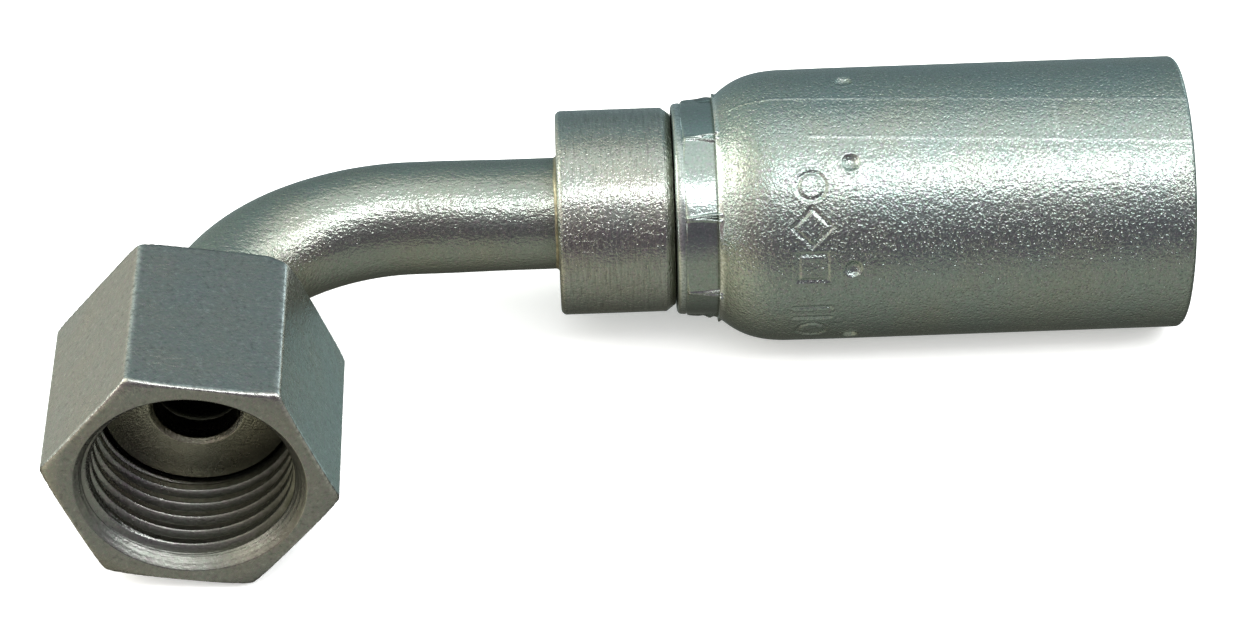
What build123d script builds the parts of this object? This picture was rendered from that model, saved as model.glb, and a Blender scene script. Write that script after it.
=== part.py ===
from build123d import *
import math
import os

# A steel crimp fitting for a 3/8 inch hydraulic hose: a 90 degree elbow of bent tube with a face-seal
# swivel nut on one end and a hose stem inside a crimp shell on the other. Lengths are in millimetres.
# The origin is the centre of the flat seat inside the nut. The nut opens towards -Y, the hose stem runs
# along +X to the open mouth of the shell, and +Z is up. Places along the nut's axis are y values, and
# places along the stem's axis are x values.

# Elbow: both legs lie in the plane z = 0.
drop = 23.5  # from the seat to the stem's axis
tight_radius = 15.0  # the bend is tight for its first 60 degrees from the nut and then opens out
tight_angle = 60
open_radius = 19.5
tight_share = math.sin(math.radians(tight_angle))
bend_height = tight_radius * tight_share + open_radius * (1 - tight_share)
tube_radius = 9.525 / 2
bore_radius = 3.52
braze_gap = 0.05  # radial gap between the tube and the sockets it is brazed into

# Swivel nut: 13/16 inch hexagon with an 11/16-16 thread, bored to the thread's minor diameter.
across_flats = 20.64
hex_turn = -10.4  # degrees from +X towards +Z of one corner
nut_front = -9.3
nut_back = 7.8
nut_face_radius = 11.3  # the corners are turned off outside this radius at the open end
nut_back_radius = 11.3
back_chamfer = 0.3
front_chamfer = 0.35
turning_radius = 12.0  # just outside the hexagon's corners
thread_radius = 7.95
thread_start = -8.3
countersink_radius = 9.2
thread_end = -0.15
relief_radius = 8.9
nut_shoulder = 3.75
nut_hole_radius = 6.4

# Face-seal sleeve: a flange that the nut pulls forward, and a neck that the tube is brazed into.
flange_radius = 7.65
flange_thickness = 3.6
flange_edge = 0.3
sleeve_neck_radius = 6.1
sleeve_end = 7.3
sleeve_socket = 2.5  # where the tube's end rests inside the sleeve
bore_edge = 0.4

# Hose stem: collar, locking groove, land and barbed nipple.
collar_start = 29.6
collar_end = 39.4
collar_radius = 8.73
collar_bevel = 0.6
stem_socket = 36.6  # where the tube's end rests inside the collar
groove_radius = 6.7
land_start = 43.2
land_end = 44.8
land_radius = 7.6
nipple_start = 45.6
nipple_radius = 4.55
barb_radius = 4.95
barb_count = 6
barb_pitch = 5.0
barb_first = 50.0
nipple_end = 81.1
nose = 1.2

# Crimp shell: neck staked into the groove, shoulder and body.
neck_start = 39.5
neck_end = 43.15
neck_flat_radius = 9.1
neck_radius = 9.35
neck_turn = 33.0  # degrees from -Y towards +Z of one crease between two jaw marks
jaw_count = 8
step_radius = 9.45
shoulder_end = 49.6
shell_radius = 11.65
shell_end = 82.6
mouth_round = 1.3
lip_radius = 6.75
lip_end = 43.1
pocket_radius = 7.75
pocket_end = 45.2
cavity_start = 48.6
cavity_radius = 9.95
tooth_radius = 9.45
tooth_first = 53.0
tooth_count = 8
tooth_pitch = 3.4
tooth_width = 0.9
tooth_flank = 0.5
mouth_bevel = 0.35

# Braze rings: filler fillets in the corners where the tube leaves the sleeve and the collar.
braze_leg = 0.75

stem_axis = Axis((0, drop, 0), (1, 0, 0))
stem_plane = Plane(origin=(0, drop, 0), x_dir=(1, 0, 0), z_dir=(0, 0, 1))


def save(part, name):
    part.label = name
    export_step(part, f"parts/{name}.step")


def nipple_outline():
    """Points (x, radius) of the barbed nipple, from the stem's land to its nose."""
    points = [(nipple_start, nipple_radius)]
    for number in range(barb_count):
        start = barb_first + number * barb_pitch
        points.append((start, nipple_radius))
        points.append((start + 0.2, barb_radius))
        points.append((start + 1.2, barb_radius))
        points.append((start + 3.4, nipple_radius))
    points.append((nipple_end - nose, nipple_radius))
    points.append((nipple_end, nipple_radius - nose / 3))
    return points


def tooth_outline():
    """Points (x, radius) of the gripping teeth inside the shell, from its cavity to its mouth."""
    points = [(cavity_start, cavity_radius)]
    for number in range(tooth_count):
        start = tooth_first + number * tooth_pitch
        points.append((start, cavity_radius))
        points.append((start + tooth_flank, tooth_radius))
        points.append((start + tooth_flank + tooth_width, tooth_radius))
        points.append((start + 2 * tooth_flank + tooth_width, cavity_radius))
    points.append((shell_end - mouth_bevel, cavity_radius))
    points.append((shell_end, cavity_radius + mouth_bevel))
    return points


os.makedirs("parts", exist_ok=True)

# The nut is a hexagon prism with its corners turned off at both ends.
with BuildPart() as swivel_nut:
    with BuildSketch(Plane.XZ.offset(-nut_front)) as hexagon:
        RegularPolygon(across_flats / 2, 6, major_radius=False, rotation=hex_turn)
    extrude(amount=nut_front - nut_back)
    with BuildSketch(Plane.XY) as corner_turning:
        with BuildLine():
            Polyline(
                (0, nut_front),
                (nut_face_radius, nut_front),
                (turning_radius, nut_front + front_chamfer),
                (turning_radius, nut_back - back_chamfer),
                (nut_back_radius, nut_back),
                (0, nut_back),
                close=True,
            )
        make_face()
    revolve(axis=Axis.Y, mode=Mode.INTERSECT)
    with BuildSketch(Plane.XY) as nut_inside:
        with BuildLine():
            Polyline(
                (0, nut_front),
                (countersink_radius, nut_front),
                (thread_radius, thread_start),
                (thread_radius, thread_end),
                (relief_radius, thread_end + relief_radius - thread_radius),
                (relief_radius, nut_shoulder),
                (nut_hole_radius, nut_shoulder),
                (nut_hole_radius, nut_back),
                (0, nut_back),
                close=True,
            )
        make_face()
    revolve(axis=Axis.Y, mode=Mode.SUBTRACT)
save(swivel_nut.part, "swivel_nut")

with BuildPart() as face_seal_sleeve:
    with BuildSketch(Plane.XY) as sleeve_half:
        with BuildLine():
            Polyline(
                (bore_radius + bore_edge, 0),
                (flange_radius - flange_edge, 0),
                (flange_radius, flange_edge),
                (flange_radius, flange_thickness),
                (sleeve_neck_radius, flange_thickness),
                (sleeve_neck_radius, sleeve_end),
                (tube_radius + braze_gap, sleeve_end),
                (tube_radius + braze_gap, sleeve_socket),
                (bore_radius, sleeve_socket),
                (bore_radius, bore_edge),
                close=True,
            )
        make_face()
    revolve(axis=Axis.Y)
save(face_seal_sleeve.part, "face_seal_sleeve")

with BuildPart() as elbow_tube:
    with BuildLine() as tube_route:
        nut_leg = Line((0, sleeve_socket), (0, drop - bend_height))
        tight = JernArc(nut_leg @ 1, (0, 1), tight_radius, -tight_angle)
        opened = JernArc(tight @ 1, tight % 1, open_radius, tight_angle - 90)
        Line(opened @ 1, (stem_socket, drop))
    with BuildSketch(Plane.XZ.offset(-sleeve_socket)) as tube_section:
        Circle(tube_radius)
        Circle(bore_radius, mode=Mode.SUBTRACT)
    sweep()
save(elbow_tube.part, "elbow_tube")

with BuildPart() as braze_ring_sleeve:
    with BuildSketch(Plane.XY) as sleeve_fillet:
        with BuildLine():
            Polyline(
                (tube_radius, sleeve_end),
                (tube_radius + braze_leg, sleeve_end),
                (tube_radius + braze_leg / 3, sleeve_end + braze_leg / 3),
                (tube_radius, sleeve_end + braze_leg),
                close=True,
            )
        make_face()
    revolve(axis=Axis.Y)
save(braze_ring_sleeve.part, "braze_ring_sleeve")

with BuildPart() as braze_ring_stem:
    with BuildSketch(stem_plane) as stem_fillet:
        with BuildLine():
            Polyline(
                (collar_start, tube_radius),
                (collar_start, tube_radius + braze_leg),
                (collar_start - braze_leg / 3, tube_radius + braze_leg / 3),
                (collar_start - braze_leg, tube_radius),
                close=True,
            )
        make_face()
    revolve(axis=stem_axis)
save(braze_ring_stem.part, "braze_ring_stem")

with BuildPart() as hose_stem:
    with BuildSketch(stem_plane) as stem_half:
        with BuildLine():
            Polyline(
                (collar_start, tube_radius + braze_gap),
                (collar_start, collar_radius - collar_bevel),
                (collar_start + collar_bevel, collar_radius),
                (collar_end - collar_bevel, collar_radius),
                (collar_end, collar_radius - collar_bevel),
                (collar_end, groove_radius),
                (land_start, groove_radius),
                (land_start, land_radius),
                (land_end, land_radius),
                *nipple_outline(),
                (nipple_end, bore_radius),
                (stem_socket, bore_radius),
                (stem_socket, tube_radius + braze_gap),
                close=True,
            )
        make_face()
    revolve(axis=stem_axis)
save(hose_stem.part, "hose_stem")

# The neck is cut to an eight-sided ring by the jaws that staked it into the stem's groove.
with BuildPart() as crimp_shell:
    with BuildSketch(stem_plane) as shell_half:
        with BuildLine():
            Polyline(
                (neck_start, lip_radius),
                (neck_start, neck_radius - 0.4),
                (neck_start + 0.6, neck_radius),
                (neck_end, neck_radius),
                (neck_end, step_radius),
            )
            shoulder = Spline(
                (neck_end, step_radius),
                ((neck_end + shoulder_end) / 2, shell_radius - 0.42),
                (shoulder_end, shell_radius),
                tangents=[(1, 1), (1, 0)],
            )
            Line(shoulder @ 1, (shell_end - mouth_round, shell_radius))
            mouth = JernArc((shell_end - mouth_round, shell_radius), (1, 0), mouth_round, -90)
            Polyline(mouth @ 1, *reversed(tooth_outline()), (pocket_end, pocket_radius))
            Polyline(
                (pocket_end, pocket_radius),
                (lip_end, pocket_radius),
                (lip_end, lip_radius),
                (neck_start, lip_radius),
            )
        make_face()
    revolve(axis=stem_axis)
    with BuildSketch(Plane.YZ.offset(neck_start)) as jaw_waste:
        with Locations((drop, 0)):
            Circle(neck_radius + 1)
            RegularPolygon(
                neck_flat_radius, jaw_count, major_radius=False,
                rotation=180 - neck_turn, mode=Mode.SUBTRACT,
            )
    extrude(amount=neck_end - neck_start, mode=Mode.SUBTRACT)
save(crimp_shell.part, "crimp_shell")
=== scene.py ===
"""Crimp hose fitting: a 90 degree bent-tube elbow with a face-seal swivel nut and a crimp shell.

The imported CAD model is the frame. Each operator below builds one piece of the visible fitting around it,
and the last one builds the studio: floor, lights and camera. Lengths are in metres in the CAD frame: the
nut opens towards -Y from the seat at the origin, and the shell's mouth opens towards +X.
"""
import math

import bmesh
import bpy
import numpy as np
from bpy.props import FloatProperty, FloatVectorProperty, IntProperty, PointerProperty
from mathutils import Matrix, Vector


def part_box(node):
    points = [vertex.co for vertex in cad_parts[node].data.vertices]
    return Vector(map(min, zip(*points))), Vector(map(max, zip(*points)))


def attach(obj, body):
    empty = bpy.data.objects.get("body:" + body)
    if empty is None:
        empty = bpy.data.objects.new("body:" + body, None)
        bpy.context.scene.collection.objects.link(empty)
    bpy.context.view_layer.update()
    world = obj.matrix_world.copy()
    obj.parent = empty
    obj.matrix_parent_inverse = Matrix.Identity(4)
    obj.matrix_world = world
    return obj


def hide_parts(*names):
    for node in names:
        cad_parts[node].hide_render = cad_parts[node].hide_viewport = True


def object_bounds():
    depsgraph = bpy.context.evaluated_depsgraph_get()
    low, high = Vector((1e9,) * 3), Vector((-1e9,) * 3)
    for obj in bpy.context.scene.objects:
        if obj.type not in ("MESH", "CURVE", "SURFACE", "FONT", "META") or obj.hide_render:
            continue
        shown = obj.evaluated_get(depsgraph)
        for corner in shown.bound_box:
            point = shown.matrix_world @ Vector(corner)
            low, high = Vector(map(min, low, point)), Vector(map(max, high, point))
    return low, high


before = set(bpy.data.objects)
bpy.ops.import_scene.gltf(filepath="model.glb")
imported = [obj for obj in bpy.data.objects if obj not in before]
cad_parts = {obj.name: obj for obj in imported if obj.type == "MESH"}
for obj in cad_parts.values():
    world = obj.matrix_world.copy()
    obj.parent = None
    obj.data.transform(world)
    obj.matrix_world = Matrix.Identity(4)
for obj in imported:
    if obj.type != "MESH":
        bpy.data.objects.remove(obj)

bl_info = {
    "name": "Crimp Hose Fitting",
    "version": (1, 0, 0),
    "blender": (4, 5, 0),
    "location": "3D Viewport > Sidebar > Hose Fitting",
    "description": "Builds a crimp hose fitting with a swivel nut around its packed CAD frame",
    "category": "Add Mesh",
}

MM = 0.001
CAD_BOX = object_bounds()
NUT_LOW, NUT_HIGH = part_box("swivel_nut")
SLEEVE_LOW, SLEEVE_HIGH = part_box("face_seal_sleeve")
TUBE_LOW, TUBE_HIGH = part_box("elbow_tube")
STEM_LOW, STEM_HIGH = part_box("hose_stem")
SHELL_LOW, SHELL_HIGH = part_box("crimp_shell")
STEM_AXIS_Y = (SHELL_LOW.y + SHELL_HIGH.y) / 2
TUBE_RADIUS = (TUBE_HIGH.z - TUBE_LOW.z) / 2
BORE_RADIUS = 3.52 * MM
RAISED = 0.05 * MM  # room left outside the shell for its raised lines and the metal pushed up round its marks
NECK_END = SHELL_LOW.x + 4 * MM  # the shell's jaw marks end short of this, and its other marks start past it


# ---------------------------------------------------------------------------------------------------
# Sizes and colours a user would change
# ---------------------------------------------------------------------------------------------------
def length(name, description, default):
    """A length property in metres, shown in the scene's length unit."""
    return FloatProperty(name=name, description=description, default=default, min=0.0, unit="LENGTH")


def rotation(name, description, degrees):
    """An angle property whose default is given in degrees."""
    return FloatProperty(
        name=name, description=description, default=math.radians(degrees), subtype="ANGLE"
    )


def colour(name, description, default):
    """A colour property in linear red, green and blue."""
    return FloatVectorProperty(
        name=name, description=description, default=default, size=3, min=0.0, max=1.0, subtype="COLOR"
    )


class NutSizes(bpy.types.PropertyGroup):
    """Sizes of the swivel nut that its CAD box doesn't give."""

    across_flats: length("Across flats", "Width of the hexagon, 13/16 inch", 20.64 * MM)
    turn: rotation("Turn", "Angle of one hexagon corner above +X", -10.4)
    edge_round: length("Edge rounding", "Worn radius along the hexagon's edges", 0.32 * MM)
    face_radius: length("Turned face radius", "The open end is turned off outside this", 11.3 * MM)
    back_radius: length("Turned back radius", "The closed end is turned off outside this", 11.3 * MM)
    thread_pitch: length("Thread pitch", "Pitch of the 11/16-16 thread", 1.5875 * MM)
    thread_minor: length("Thread minor radius", "Radius at the crests of the inside thread", 7.98 * MM)
    thread_depth: length("Thread depth", "Height of the thread from crest to root", 0.8 * MM)
    countersink: length("Countersink radius", "Radius of the countersink at the open end", 9.2 * MM)


class ShellSizes(bpy.types.PropertyGroup):
    """Sizes of the crimp shell's jaw marks, dimples and stamped marks."""

    jaw_count: IntProperty(name="Jaw marks", description="Jaw marks round the neck", default=8, min=4, max=16)
    jaw_turn: rotation("Jaw turn", "Angle of one crease above the front", 33.0)
    crease_height: length("Crease height", "Height of the pinched metal between two jaw marks", 0.32 * MM)
    dimple_radius: length("Dimple radius", "Radius of each round dimple", 0.75 * MM)
    dimple_depth: length("Dimple depth", "Depth of each round dimple", 0.34 * MM)
    mark_depth: length("Mark depth", "Depth of the stamped inspection marks", 0.1 * MM)


class ZincColours(bpy.types.PropertyGroup):
    """Tints of the zinc plating on each piece and of the braze, and the colour of the painted shade in
    corners.
    """

    nut: colour("Nut", "Plating on the swivel nut", (0.455, 0.455, 0.44))
    # partly painted shade: this plating is darker than the rest so that the seat, deep inside the nut, looks
    # shaded
    sleeve: colour("Sleeve", "Plating on the face-seal sleeve", (0.4, 0.39, 0.31))
    tube: colour("Tube", "Plating on the bent tube", (0.49, 0.52, 0.475))
    stem: colour("Stem", "Plating on the stem and its collar", (0.555, 0.58, 0.55))
    shell: colour("Shell", "Plating on the crimp shell", (0.52, 0.59, 0.57))
    braze: colour("Braze", "Brass filler in the two brazed joints", (0.62, 0.58, 0.42))
    # painted shade: the colour put into corners, recesses, bores and gaps where shade falls
    corner_shade: colour("Grime", "Dull film that stays in corners", (0.15, 0.165, 0.12))


# ---------------------------------------------------------------------------------------------------
# Mesh helpers
# ---------------------------------------------------------------------------------------------------
def rounded(corners, steps=5):
    """An outline of (along, radius, rounding) corners as points, with each corner rounded by an arc."""
    points = []
    count = len(corners)
    for i, (x, r, rounding) in enumerate(corners):
        here = np.array((x, r))
        before = np.array(corners[i - 1][:2]) - here
        after = np.array(corners[(i + 1) % count][:2]) - here
        reach = min(np.linalg.norm(before), np.linalg.norm(after))
        if rounding <= 0 or reach == 0:
            points.append(here)
            continue
        before = before / np.linalg.norm(before)
        after = after / np.linalg.norm(after)
        half = math.acos(max(-1.0, min(1.0, float(before @ after)))) / 2
        if math.pi / 2 - half < 0.01:
            points.append(here)
            continue
        cut = min(rounding / math.tan(half), 0.48 * reach)
        radius = cut * math.tan(half)
        middle = before + after
        centre = here + middle / np.linalg.norm(middle) * radius / math.sin(half)
        start = here + before * cut - centre
        finish = here + after * cut - centre
        for share in np.linspace(0, 1, steps + 1):
            arm = start * (1 - share) + finish * share
            points.append(centre + arm / np.linalg.norm(arm) * radius)
    return np.array(points)


def divided(points, longest):
    """The same open outline with its long stretches divided."""
    out = [points[0]]
    for a, b in zip(points[:-1], points[1:]):
        parts = max(1, math.ceil(float(np.linalg.norm(b - a)) / longest))
        out += [a + (b - a) * n / parts for n in range(1, parts + 1)]
    return np.array(out)


def round_x(along, radius, angle):
    """Points on a turned surface about the stem's axis; angle runs from -Y towards +Z."""
    across = STEM_AXIS_Y - radius * np.cos(angle)
    return np.stack([along + 0 * angle, across, radius * np.sin(angle)], axis=-1)


def round_y(along, radius, angle):
    """Points on a turned surface about the nut's axis; angle runs from +X towards +Z."""
    return np.stack([radius * np.cos(angle), along + 0 * angle, radius * np.sin(angle)], axis=-1)


def full_turn(columns):
    """Even angles once round."""
    return np.arange(columns) * 2 * math.pi / columns


def quads(first, second):
    """Faces between two closed rings of vertex numbers of the same size."""
    return [
        (first[i], first[(i + 1) % len(first)], second[(i + 1) % len(first)], second[i])
        for i in range(len(first))
    ]


def fans(fine, coarse):
    """Faces between a closed ring and one with fewer vertices, whose count divides the fine one's."""
    ratio = len(fine) // len(coarse)
    faces = []
    for i in range(len(coarse)):
        edge = [fine[(i * ratio + n) % len(fine)] for n in range(ratio + 1)]
        faces.append((*edge, coarse[(i + 1) % len(coarse)], coarse[i]))
    return faces


def mesh_piece(name, blocks):
    """One closed piece from blocks of rings, each (rings, columns, 3). The last ring joins the first."""
    vertices, rings = [], []
    for block in blocks:
        for ring in block:
            start = len(vertices)
            vertices.extend(ring)
            rings.append(list(range(start, start + len(ring))))
    faces = []
    for first, second in zip(rings, rings[1:] + rings[:1]):
        if len(first) == len(second):
            faces += quads(first, second)
        elif len(first) > len(second):
            faces += fans(first, second)
        else:
            faces += fans(second, first)
    return finished_mesh(name, vertices, faces)


def finished_mesh(name, vertices, faces, merge=1e-8):
    """A linked object whose doubled points are merged and whose faces point outwards."""
    mesh = bpy.data.meshes.new(name)
    mesh.from_pydata([tuple(map(float, v)) for v in vertices], [], faces)
    shape = bmesh.new()
    shape.from_mesh(mesh)
    bmesh.ops.remove_doubles(shape, verts=shape.verts, dist=merge)
    bmesh.ops.dissolve_degenerate(shape, edges=shape.edges, dist=merge)
    bmesh.ops.recalc_face_normals(shape, faces=shape.faces)
    for face in shape.faces:
        face.smooth = True
    shape.to_mesh(mesh)
    shape.free()
    piece = bpy.data.objects.new(name, mesh)
    bpy.context.scene.collection.objects.link(piece)
    weighted = piece.modifiers.new("Flat faces stay flat", "WEIGHTED_NORMAL")
    weighted.weight = 90
    return piece


def turned_piece(name, corners, turned, columns, longest=None, steps=5):
    """A closed piece turned from one outline of (along, radius, rounding) corners."""
    outline = rounded(corners, steps)
    if longest:
        outline = divided(np.vstack([outline, outline[:1]]), longest)[:-1]
    angle = full_turn(columns)
    rings = [turned(along, radius, angle) for along, radius in outline]
    return mesh_piece(name, [rings])


def settle(piece, node, body, material):
    """Puts a finished piece on its body in place of its CAD node."""
    piece.data.materials.append(material)
    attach(piece, body)
    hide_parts(node)


def smooth_step(value, low, high):
    """0 up to low and 1 from high on, with a smooth rise between them. It falls where high is the lower."""
    share = np.clip((value - low) / (high - low), 0.0, 1.0)
    return share * share * (3 - 2 * share)


def bell(distance, width):
    """1 at no distance, falling smoothly to almost nothing over twice the width."""
    return np.exp(-((distance / width) ** 2))


# ---------------------------------------------------------------------------------------------------
# Materials
# ---------------------------------------------------------------------------------------------------
class Recipe:
    """The nodes of a material or a world, added and wired one at a time."""

    def __init__(self, owner, shader="Principled BSDF"):
        owner.use_nodes = True
        self.owner = owner
        self.tree = owner.node_tree
        self.shader = self.tree.nodes[shader]

    def add(self, kind, inputs=None, **settings):
        """A new node with its settings made and its inputs wired or set."""
        node = self.tree.nodes.new(kind)
        for key, value in settings.items():
            setattr(node, key, value)
        for key, value in (inputs or {}).items():
            self.wire(value, node.inputs[key])
        return node

    def wire(self, value, socket):
        """Links a socket to another node's output, or sets it directly."""
        if isinstance(value, bpy.types.NodeSocket):
            self.tree.links.new(value, socket)
        else:
            socket.default_value = value

    def maths(self, operation, *values):
        """The result of one Math node."""
        return self.add("ShaderNodeMath", dict(enumerate(values)), operation=operation).outputs[0]

    def place(self, scale=(1.0, 1.0, 1.0)):
        """Places on the piece in metres, stretched by scale."""
        coordinates = self.add("ShaderNodeTexCoord")
        mapping = self.add("ShaderNodeMapping", {"Vector": coordinates.outputs["Object"], "Scale": scale})
        return mapping.outputs["Vector"]

    def noise(self, place, size, detail=2.0, roughness=0.5):
        """Noise whose features are about size metres across."""
        inputs = {"Vector": place, "Scale": 1 / size, "Detail": detail, "Roughness": roughness}
        return self.add("ShaderNodeTexNoise", inputs).outputs["Fac"]

    def ramp(self, value, low, high, start=0.0, finish=1.0):
        """The value, moved from the range low to high to the range start to finish and kept in it."""
        inputs = {"Value": value, "From Min": low, "From Max": high, "To Min": start, "To Max": finish}
        return self.add("ShaderNodeMapRange", inputs).outputs["Result"]

    def stored(self, name):
        """A number stored per point on the piece, or 0 where the piece has none."""
        return self.add("ShaderNodeAttribute", attribute_name=name).outputs["Fac"]

    def rings_round_nut_axis(self, size):
        """Noise that changes only with the distance from the nut's axis."""
        parts = self.add("ShaderNodeSeparateXYZ", {"Vector": self.place()}).outputs
        squares = [self.maths("POWER", parts[axis], 2.0) for axis in "XZ"]
        radius = self.maths("SQRT", self.maths("ADD", *squares))
        across = self.add("ShaderNodeCombineXYZ", {"X": radius, "Y": 0.0, "Z": 0.0}).outputs["Vector"]
        return self.noise(across, size, 3.0, 0.7)

    def nick(self, centre, along, width):
        """A short straight scratch: 1 on it and 0 off it. along is its half length and direction."""
        reach = Vector(along)
        outward = Vector((0.0, centre[1] - STEM_AXIS_Y, centre[2])).normalized()
        side = reach.normalized().cross(outward)
        coordinates = self.add("ShaderNodeTexCoord").outputs["Object"]
        away = self.add("ShaderNodeVectorMath", {0: coordinates, 1: centre}, operation="SUBTRACT").outputs[0]
        inside = []
        for direction, half in ((reach.normalized(), reach.length), (side, width), (outward, 1 * MM)):
            share = self.add("ShaderNodeVectorMath", {0: away, 1: direction}, operation="DOT_PRODUCT")
            inside.append(self.ramp(self.maths("ABSOLUTE", share.outputs["Value"]), half, half * 0.6))
        return self.maths("MULTIPLY", self.maths("MULTIPLY", inside[0], inside[1]), inside[2])

    def mix(self, share, first, second, blend="MIX"):
        """Two colours, each a socket or red, green and blue, mixed by share."""
        node = self.add("ShaderNodeMix", {0: share}, data_type="RGBA", blend_type=blend)
        for value, socket in ((first, node.inputs[6]), (second, node.inputs[7])):
            self.wire(value if isinstance(value, bpy.types.NodeSocket) else (*value, 1.0), socket)
        return node.outputs[2]

    def bump(self, height, strength, distance, below=None):
        """A bumped normal, on top of the one below if there is one."""
        inputs = {"Height": height, "Strength": strength, "Distance": distance}
        if below is not None:
            inputs["Normal"] = below
        return self.add("ShaderNodeBump", inputs).outputs["Normal"]


def zinc(
    name, tint, corner_shade, peel, pits, roughness, mottle=0.4, speck=0.22 * MM, turning=0.0, facing=0.0,
    stretch=(1, 1, 1), wear=1.5, nicks=()
):
    """Zinc-plated steel: orange peel, faint passivation tints, specks, scratches, painted shade in corners
    and edges brightened partly as painted highlight.

    peel is the orange peel's height and pits the depth of the pits in it. mottle and speck are the strength
    and size of the light and dark specks. turning is the height of lathe marks round the stem's axis, and
    facing of those on a face square to the nut's. The edge brightening gain says how much brighter the marked
    edges are, partly as rubbed metal and partly as painted highlight, and nicks are the listed scratches.
    """
    recipe = Recipe(bpy.data.materials.new(name))
    here = recipe.place()
    stretched = recipe.place(stretch)
    cloud = recipe.noise(here, 5.0 * MM, 3.0)
    patch = recipe.noise(here, 1.0 * MM, 4.0, 0.6)
    specks = recipe.noise(here, speck, 3.0, 0.6)
    tinge = recipe.noise(recipe.place((1.3, 1.1, 0.9)), 0.35 * MM, 3.0, 0.6)
    lathe = recipe.noise(recipe.place((1.0, 0.1, 0.1)), 0.22 * MM, 3.0, 0.75) if turning else None

    plain, pale = shaded(tint, (0.95, 1.0, 1.0)), shaded(tint, (1.04, 1.01, 0.95))
    base = recipe.mix(recipe.ramp(cloud, 0.35, 0.65), plain, pale)
    shades = (
        (tinge, 0.52, 0.68, 0.8, (1.08, 0.93, 1.05)),
        (tinge, 0.46, 0.32, 0.8, (0.9, 1.04, 0.96)),
        (patch, 0.3, 0.75, 0.2, (0.75, 0.75, 0.75)),
        (specks, 0.56, 0.74, mottle, (1.5, 1.5, 1.5)),
        (specks, 0.44, 0.28, mottle, (0.5, 0.5, 0.5)),
    )
    for value, low, high, most, shade in shades:
        base = recipe.mix(recipe.ramp(value, low, high, 0.0, most), base, shaded(tint, shade))
    # painted shade: points marked as corners take the dark shade colour, and further down they are also made
    # rougher
    corner_shade_share = recipe.maths("MULTIPLY", recipe.stored("corner"), recipe.ramp(patch, 0.2, 0.6, 0.6, 1.0))
    base = recipe.mix(corner_shade_share, base, corner_shade)
    # painted highlight and wear: marked edges take a brighter copy of the tint
    worn = recipe.maths("MULTIPLY", recipe.stored("worn"), recipe.ramp(specks, 0.35, 0.6, 0.2, 1.0))
    base = recipe.mix(worn, base, shaded(tint, (wear, wear, wear)))
    if turning:
        base = recipe.mix(recipe.ramp(lathe, 0.47, 0.33, 0.0, 0.4), base, shaded(tint, (0.35, 0.35, 0.35)))
        base = recipe.mix(recipe.ramp(lathe, 0.54, 0.68, 0.0, 0.45), base, shaded(tint, (1.35, 1.35, 1.35)))
    recipe.wire(base, recipe.shader.inputs["Base Color"])

    rough = recipe.ramp(patch, 0.25, 0.8, roughness, roughness + 0.1)
    rough = recipe.maths("ADD", rough, recipe.maths("MULTIPLY", corner_shade_share, 0.25))
    recipe.wire(rough, recipe.shader.inputs["Roughness"])
    recipe.shader.inputs["Metallic"].default_value = 1.0

    fine = recipe.noise(stretched, 0.23 * MM, 2.0, 0.55)
    broad = recipe.noise(stretched, 0.8 * MM, 2.0)
    height = recipe.maths("ADD", fine, recipe.maths("MULTIPLY", broad, 0.8))
    kept_rough = recipe.maths("SUBTRACT", 1.0, recipe.maths("MULTIPLY", recipe.stored("pressed"), 0.75))
    normal = recipe.bump(height, kept_rough, peel)
    pitted = recipe.ramp(recipe.noise(recipe.place((1.1, 0.9, 1.0)), 0.24 * MM, 1.0), 0.56, 0.7)
    normal = recipe.bump(pitted, kept_rough, -pits, normal)
    cells = {"Vector": recipe.place((1.0, 2.6, 1.7)), "Scale": 1 / (2.4 * MM)}
    scratches = recipe.add("ShaderNodeTexVoronoi", cells, feature="DISTANCE_TO_EDGE").outputs["Distance"]
    line = recipe.ramp(scratches, 0.0, 0.012, 1.0, 0.0)
    kept = recipe.maths("MULTIPLY", line, recipe.ramp(cloud, 0.56, 0.62))
    for nick in nicks:
        kept = recipe.maths("MAXIMUM", kept, recipe.nick(*nick))
    normal = recipe.bump(kept, 0.7, -0.012 * MM, normal)
    if turning:
        normal = recipe.bump(lathe, 1.0, turning, normal)
    if facing:
        normal = recipe.bump(recipe.rings_round_nut_axis(0.14 * MM), 0.8, facing, normal)
    recipe.wire(normal, recipe.shader.inputs["Normal"])
    return recipe.owner


def plated(context, part, **finish):
    """The zinc plating of one part, in its own tint."""
    colours = context.scene.fitting_colours
    return zinc(part + "_zinc", getattr(colours, part), colours.corner_shade, **finish)


def shaded(tint, shade):
    """The tint with its channels scaled."""
    return tuple(min(1.0, c * f) for c, f in zip(tint, shade))


def brass(name, tint):
    """Dull brass filler with a wavy frozen surface."""
    recipe = Recipe(bpy.data.materials.new(name))
    here = recipe.place()
    blotch = recipe.noise(here, 0.5 * MM, 3.0)
    base = recipe.mix(recipe.ramp(blotch, 0.3, 0.7), tint, tuple(c * 0.55 for c in tint))
    recipe.wire(base, recipe.shader.inputs["Base Color"])
    recipe.wire(recipe.ramp(blotch, 0.3, 0.7, 0.3, 0.5), recipe.shader.inputs["Roughness"])
    recipe.shader.inputs["Metallic"].default_value = 1.0
    normal = recipe.bump(recipe.noise(here, 0.3 * MM, 2.0), 1.0, 0.04 * MM)
    recipe.wire(normal, recipe.shader.inputs["Normal"])
    return recipe.owner


def on_stem(along, degrees, radius):
    """A place on the stem's side; degrees run from -Y towards +Z."""
    return Vector(round_x(along, radius, np.array(math.radians(degrees))))


def mark_points(piece, name, values):
    """Stores one number per point for the piece's material to read."""
    attribute = piece.data.attributes.new(name, "FLOAT", "POINT")
    attribute.data.foreach_set("value", np.clip(values, 0.0, 1.0).astype(np.float32))


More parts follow.
